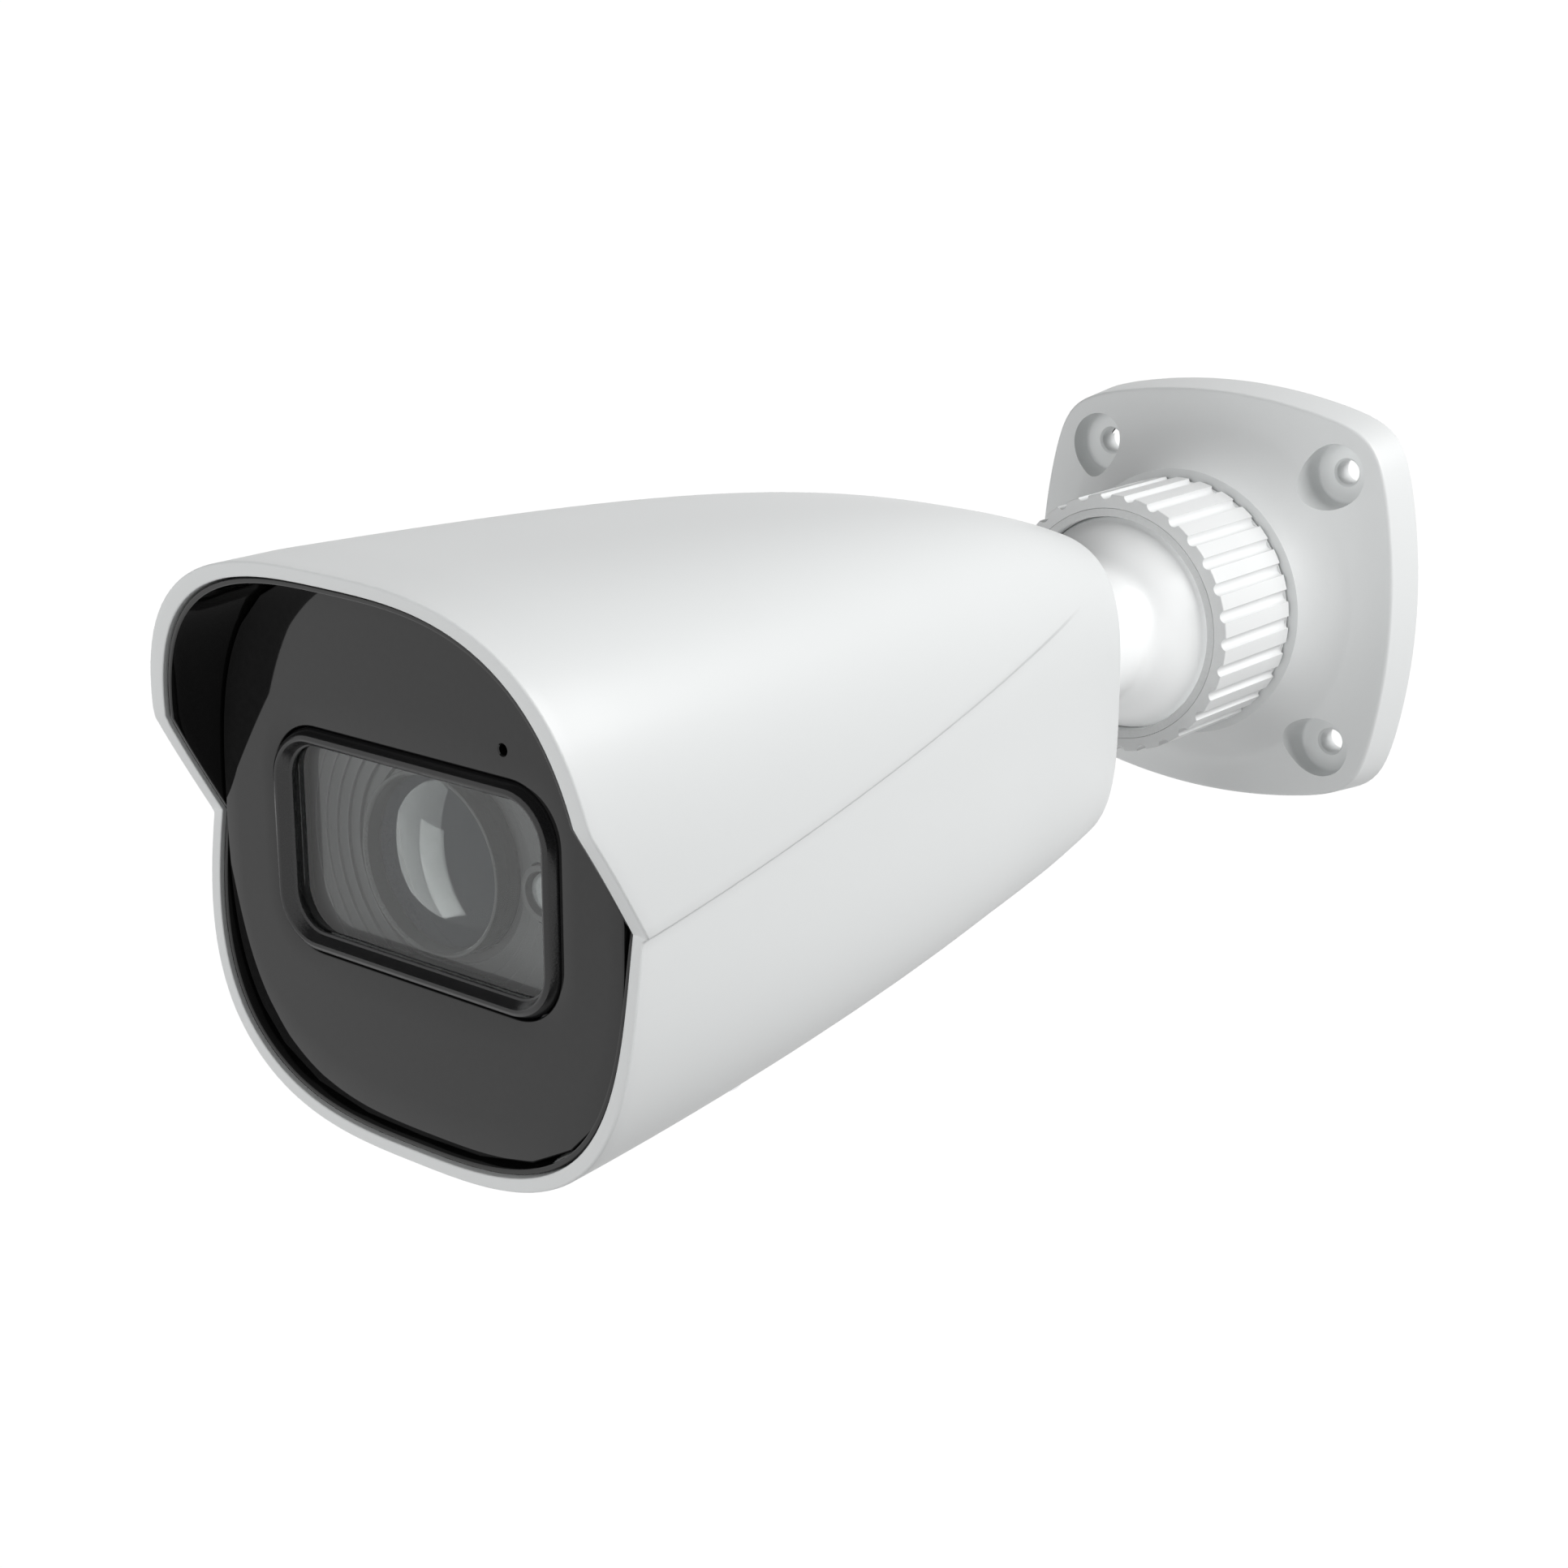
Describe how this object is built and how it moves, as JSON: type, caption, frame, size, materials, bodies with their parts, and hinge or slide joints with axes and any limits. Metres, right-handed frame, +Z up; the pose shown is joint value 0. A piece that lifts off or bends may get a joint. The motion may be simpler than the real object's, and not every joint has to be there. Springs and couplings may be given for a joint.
{
  "type": "bullet security camera with ball bracket",
  "caption": "Outdoor bullet camera: tapered white housing with a hood and black window front on a ball joint with a knurled lock collar and a square wall plate.",
  "frame": {"origin": "centre of the wall plate's back face, at the middle of its cable hole", "axes": "+Z up, the wall is the plane Y=0 with the wall on the +Y side, and the camera looks along -Y at rest"},
  "size_m": [0.0942, 0.2491, 0.0948],
  "materials": {
    "white_cast": "white powder coat, satin",
    "seal_rubber": "matte",
    "seat_plastic": "satin",
    "clamp_grey": "satin",
    "collar_white": "white powder coat, satin",
    "ball_white": "white powder coat, satin",
    "black_gloss": "gloss",
    "black_satin": "satin",
    "clear_window": "polished",
    "bare_aluminium": "satin",
    "steel": "satin",
    "circuit_board": "satin",
    "led_lens": "gloss",
    "lens_glass": "polished",
    "gear_plastic": "satin",
    "pinion_brass": "satin",
    "pad_rubber": "matte",
    "polished_screw": "polished"
  },
  "bodies": {
    "bracket": {"wall_plate": "white_cast", "wall_gasket": "seal_rubber"},
    "clamp": {"clamp_ring": "clamp_grey"},
    "collar": {"lock_collar": "collar_white"},
    "seat": {"seat_ring": "seat_plastic"},
    "ball": {"ball_neck": "ball_white"},
    "camera": {"main_shell": "white_cast", "hood_liner": "black_gloss", "front_panel": "black_gloss", "window_bezel": "black_satin", "window_glass": "clear_window", "front_seal": "seal_rubber", "front_frame": "bare_aluminium", "microphone": "steel", "ir_led_board": "circuit_board", "ir_led_1": "led_lens", "ir_led_2": "led_lens", "ir_led_3": "led_lens", "ir_led_4": "led_lens", "lens_shroud": "black_satin", "light_led": "led_lens", "lens_barrel": "black_satin", "front_element": "lens_glass", "zoom_motor": "steel", "focus_motor": "steel", "filter_housing": "black_satin", "image_sensor": "lens_glass", "sensor_board": "circuit_board", "lens_bracket": "bare_aluminium", "chassis": "bare_aluminium", "power_board": "circuit_board", "transformer": "gear_plastic", "main_board": "circuit_board", "processor": "black_satin", "thermal_pad": "pad_rubber", "service_board": "circuit_board", "heat_sink": "bare_aluminium", "ribbon_cable": "gear_plastic", "card_slot": "steel", "reset_switch": "black_satin", "neck_nut": "steel", "neck_seal": "seal_rubber"},
    "zoom_barrel_ring": {"zoom_ring": "gear_plastic"},
    "zoom_drive_pinion": {"zoom_pinion": "pinion_brass"},
    "zoom_lens": {"zoom_group": "lens_glass"},
    "focus_barrel_ring": {"focus_ring": "gear_plastic"},
    "focus_drive_pinion": {"focus_pinion": "pinion_brass"},
    "focus_lens": {"focus_group": "lens_glass"},
    "infrared_filter": {"filter_slide": "black_satin"},
    "button": {"reset_button": "gear_plastic"},
    "card": {"memory_card": "black_satin"},
    "cover": {"service_cover": "white_cast", "cover_gasket": "seal_rubber", "cover_screw_left": "polished_screw", "cover_screw_right": "polished_screw"}
  },
  "joints": [
    {"name": "clamp_travel", "type": "slide", "parent": "bracket", "child": "clamp", "axis": [0, -1, 0], "range_m": [0, 0.00112]},
    {"name": "collar_turn", "type": "hinge", "parent": "clamp", "child": "collar", "pos_m": [0, -0.033, 0], "axis": [0, -1, 0], "range_deg": [0, 270]},
    {"name": "ball_turn", "type": "hinge", "parent": "bracket", "child": "seat", "pos_m": [0, -0.0363, 0], "axis": [0, 1, 0], "range_deg": [-180, 180]},
    {"name": "ball_tilt", "type": "hinge", "parent": "seat", "child": "ball", "pos_m": [0, -0.0363, 0], "axis": [1, 0, 0], "range_deg": [-28, 28]},
    {"name": "body_roll", "type": "hinge", "parent": "ball", "child": "camera", "pos_m": [0, -0.0363, 0], "axis": [0, 1, 0], "range_deg": [-180, 180]},
    {"name": "zoom_ring_turn", "type": "hinge", "parent": "camera", "child": "zoom_barrel_ring", "pos_m": [0, -0.208, -0.0019], "axis": [0, -1, 0], "range_deg": [0, 70]},
    {"name": "zoom_pinion_turn", "type": "hinge", "parent": "camera", "child": "zoom_drive_pinion", "pos_m": [0, -0.208, 0.01625], "axis": [0, -1, 0], "range_deg": [-350, 0]},
    {"name": "zoom_travel", "type": "slide", "parent": "camera", "child": "zoom_lens", "axis": [0, -1, 0], "range_m": [0, 0.0079]},
    {"name": "focus_ring_turn", "type": "hinge", "parent": "camera", "child": "focus_barrel_ring", "pos_m": [0, -0.1955, -0.0019], "axis": [0, -1, 0], "range_deg": [0, 70]},
    {"name": "focus_pinion_turn", "type": "hinge", "parent": "camera", "child": "focus_drive_pinion", "pos_m": [0, -0.1955, -0.02005], "axis": [0, -1, 0], "range_deg": [-350, 0]},
    {"name": "focus_travel", "type": "slide", "parent": "camera", "child": "focus_lens", "axis": [0, -1, 0], "range_m": [0, 0.0029]},
    {"name": "filter_travel", "type": "slide", "parent": "camera", "child": "infrared_filter", "axis": [1, 0, 0], "range_m": [0, 0.01]},
    {"name": "reset_press", "type": "slide", "parent": "camera", "child": "button", "axis": [0, 0, 1], "range_m": [0, 0.0005], "stiffness_N_per_m": 600, "springref_m": -0.0003},
    {"name": "card_eject", "type": "slide", "parent": "camera", "child": "card", "axis": [0, 1, 0], "range_m": [0, 0.0145]},
    {"name": "cover_lift_off", "type": "slide", "parent": "camera", "child": "cover", "axis": [0, 0, -1], "range_m": [0, 0.03]}
  ],
  "couplings": [
    {"joint": "collar_turn", "follows": "clamp_travel", "rad_per_m": 4189},
    {"joint": "zoom_ring_turn", "follows": "zoom_travel", "rad_per_m": 154.6},
    {"joint": "zoom_pinion_turn", "follows": "zoom_travel", "rad_per_m": -773},
    {"joint": "focus_ring_turn", "follows": "focus_travel", "rad_per_m": 421.2},
    {"joint": "focus_pinion_turn", "follows": "focus_travel", "rad_per_m": -2106}
  ]
}
